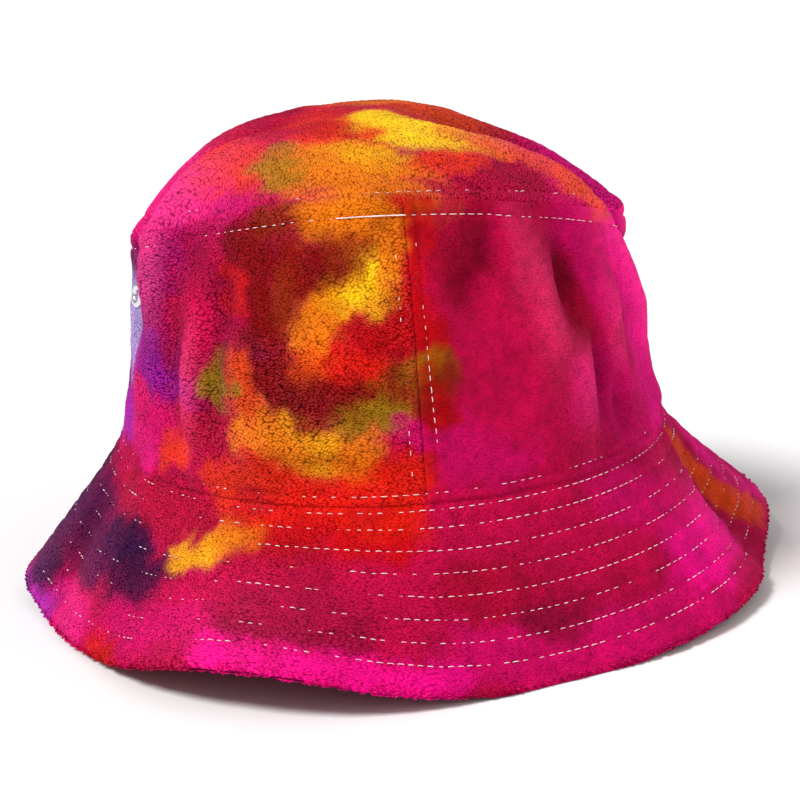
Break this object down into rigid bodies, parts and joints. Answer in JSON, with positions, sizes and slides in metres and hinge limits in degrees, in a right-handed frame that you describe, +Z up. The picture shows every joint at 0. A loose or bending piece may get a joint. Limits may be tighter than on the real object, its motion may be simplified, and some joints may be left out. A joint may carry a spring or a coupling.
{
  "type": "bucket hat",
  "caption": "Soft bucket hat in tie-dyed terry cloth with a domed crown, side eyelets and a wavy brim stitched in concentric rows.",
  "frame": {"origin": "middle of the hat's outline on the surface it stands on, under the brim edge", "axes": "+Z up through the crown, the front of the hat faces -Y, +X is the wearer's left"},
  "size_m": [0.2438, 0.277, 0.1543],
  "materials": {
    "terry_tip": "tie-dyed cotton terry: coral, yellow, orange and magenta",
    "terry_sides": "tie-dyed cotton terry: magenta, crimson, orange and violet",
    "terry_brim": "tie-dyed cotton terry: magenta and crimson, navy and orange to the left",
    "interlining": "stiff woven interlining",
    "sweatband_cotton": "dyed cotton twill",
    "seam_tape": "dyed cotton bias tape",
    "nickel": "polished nickel plate",
    "label_satin": "blank satin",
    "white_thread": "undyed polyester thread"
  },
  "bodies": {
    "hat": {"crown_tip": "terry_tip", "crown_side_left": "terry_sides", "crown_side_right": "terry_sides", "brim_top": "terry_brim", "brim_interlining": "interlining", "brim_underside": "terry_brim", "sweatband": "sweatband_cotton", "tip_seam_binding": "seam_tape", "front_seam_tape": "seam_tape", "back_seam_tape": "seam_tape", "eyelet_left_front": "nickel", "eyelet_left_back": "nickel", "eyelet_right_front": "nickel", "eyelet_right_back": "nickel", "washer_left_front": "nickel", "washer_left_back": "nickel", "washer_right_front": "nickel", "washer_right_back": "nickel", "tip_stitch_upper": "white_thread", "tip_stitch_lower": "white_thread", "front_seam_stitch_left": "white_thread", "front_seam_stitch_right": "white_thread", "back_seam_stitch_left": "white_thread", "back_seam_stitch_right": "white_thread", "crown_hem_stitch": "white_thread", "brim_seam_stitch": "white_thread", "brim_stitch_1": "white_thread", "brim_stitch_2": "white_thread", "brim_stitch_3": "white_thread", "brim_stitch_4": "white_thread", "brim_stitch_5": "white_thread", "brim_stitch_6": "white_thread", "brim_stitch_7": "white_thread", "sweatband_stitch": "white_thread"},
    "care_label": {"care_label": "label_satin"}
  },
  "joints": [
    {"name": "label_flap", "type": "hinge", "parent": "hat", "child": "care_label", "pos_m": [-0.0016, 0.095, 0.0795], "axis": [-1, 0, 0], "range_deg": [-6, 110]}
  ]
}
